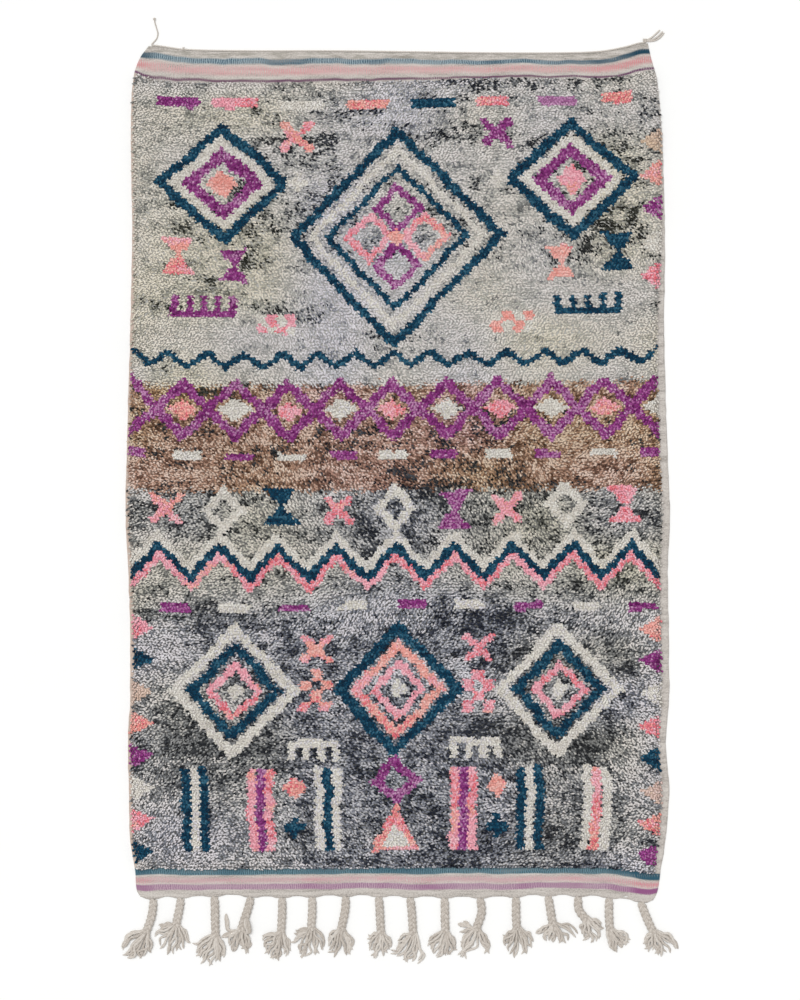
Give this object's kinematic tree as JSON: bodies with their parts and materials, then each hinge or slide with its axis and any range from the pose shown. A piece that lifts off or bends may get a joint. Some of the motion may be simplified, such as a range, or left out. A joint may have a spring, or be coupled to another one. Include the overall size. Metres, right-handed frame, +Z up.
{
  "type": "hand-knotted wool pile rug with plaited fringe",
  "caption": "Rectangular hand-knotted wool rug with a low lumpy pile, striped flatwoven ends, plain selvedges and a plaited, tasselled fringe along one end; it lies flat on a floor.",
  "frame": {"origin": "on the floor under the middle of the woven rug, in its flat underside", "axes": "+Z up from the floor through the pile, +Y along the rug's length away from the fringe, +X across the rug to the right as seen from above with the fringe at the bottom"},
  "size_m": [1.6249, 2.7546, 0.0225],
  "materials": {
    "pile_wool": "heathered grey wool pile with dyed wool figures, matt",
    "warp_yarn": "undyed cream plied wool yarn, matt"
  },
  "bodies": {
    "root": {"woven_rug": "pile_wool", "heading_cord": "warp_yarn", "plait_01": "warp_yarn", "plait_02": "warp_yarn", "plait_03": "warp_yarn", "plait_04": "warp_yarn", "plait_05": "warp_yarn", "plait_06": "warp_yarn", "plait_07": "warp_yarn", "plait_08": "warp_yarn", "plait_09": "warp_yarn", "plait_10": "warp_yarn", "plait_11": "warp_yarn", "plait_12": "warp_yarn", "plait_13": "warp_yarn", "plait_14": "warp_yarn", "plait_15": "warp_yarn", "plait_16": "warp_yarn"}
  },
  "joints": []
}
